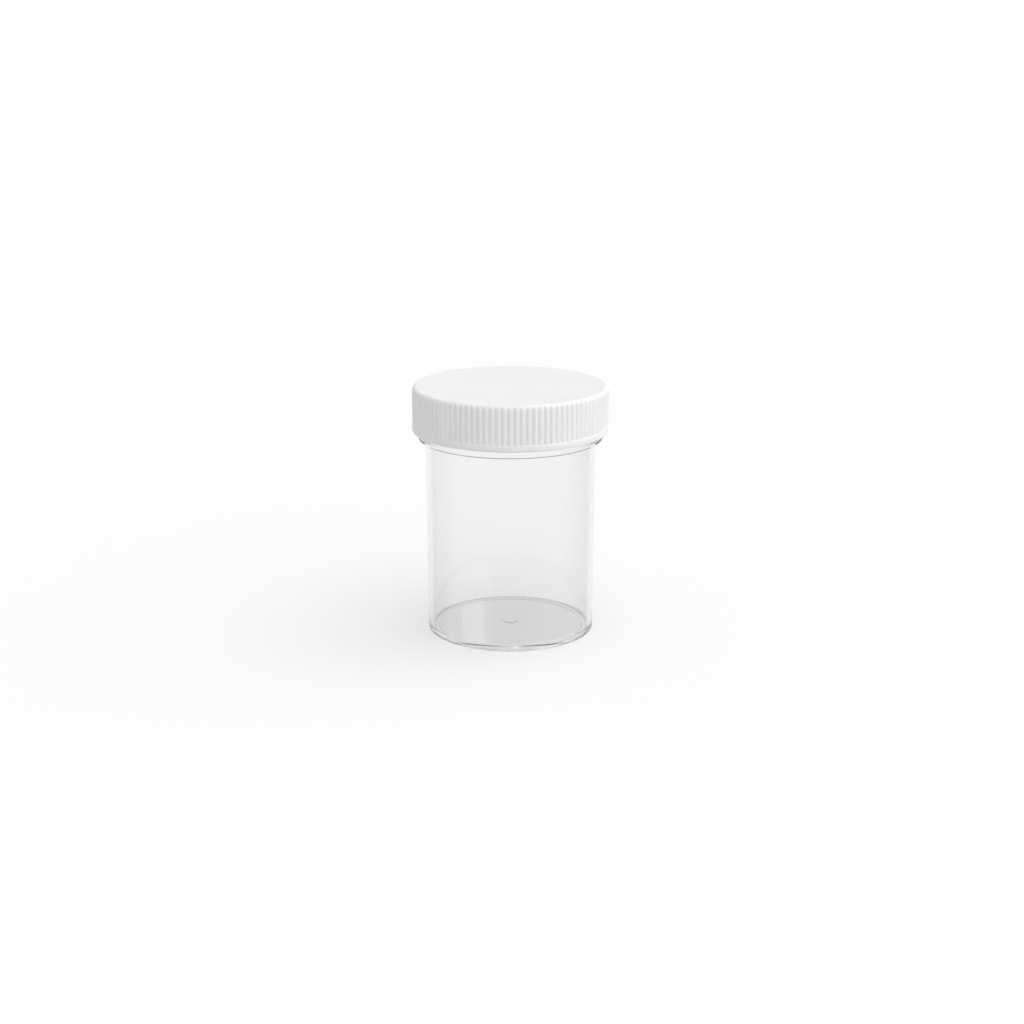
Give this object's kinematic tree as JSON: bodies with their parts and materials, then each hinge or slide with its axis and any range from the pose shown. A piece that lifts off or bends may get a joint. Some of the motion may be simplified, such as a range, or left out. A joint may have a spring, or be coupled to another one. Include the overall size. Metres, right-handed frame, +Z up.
{
  "type": "slide staining jar",
  "caption": "Clear, straight-sided round plastic jar with a ribbed white screw cap, for standing microscope slides upright in stain.",
  "frame": {"origin": "centre of the ring that the jar stands on, at z = 0", "axes": "+Z up along the axis of the jar and its cap, +X to the right seen from the front, -Y towards the front; the jar is round, so its front is any side"},
  "size_m": [0.066, 0.066, 0.0845],
  "materials": {
    "clear_polystyrene": "injection-moulded clear polystyrene, polished inside and out",
    "white_polypropylene": "injection-moulded white polypropylene, fine satin",
    "white_foam": "die-cut polyethylene foam sheet with a smooth skin"
  },
  "bodies": {
    "jar": {"jar": "clear_polystyrene"},
    "liner": {"cap_liner": "white_foam"},
    "cap": {"cap": "white_polypropylene"}
  },
  "joints": [
    {"name": "cap_lift", "type": "slide", "parent": "jar", "child": "liner", "axis": [0, 0, 1], "range_m": [0, 0.01693]},
    {"name": "cap_turn", "type": "hinge", "parent": "liner", "child": "cap", "pos_m": [0, 0, 0.0754], "axis": [0, 0, 1], "range_deg": [0, 1440]}
  ],
  "couplings": [
    {"joint": "cap_lift", "follows": "cap_turn", "m_per_rad": 0.00067376}
  ]
}
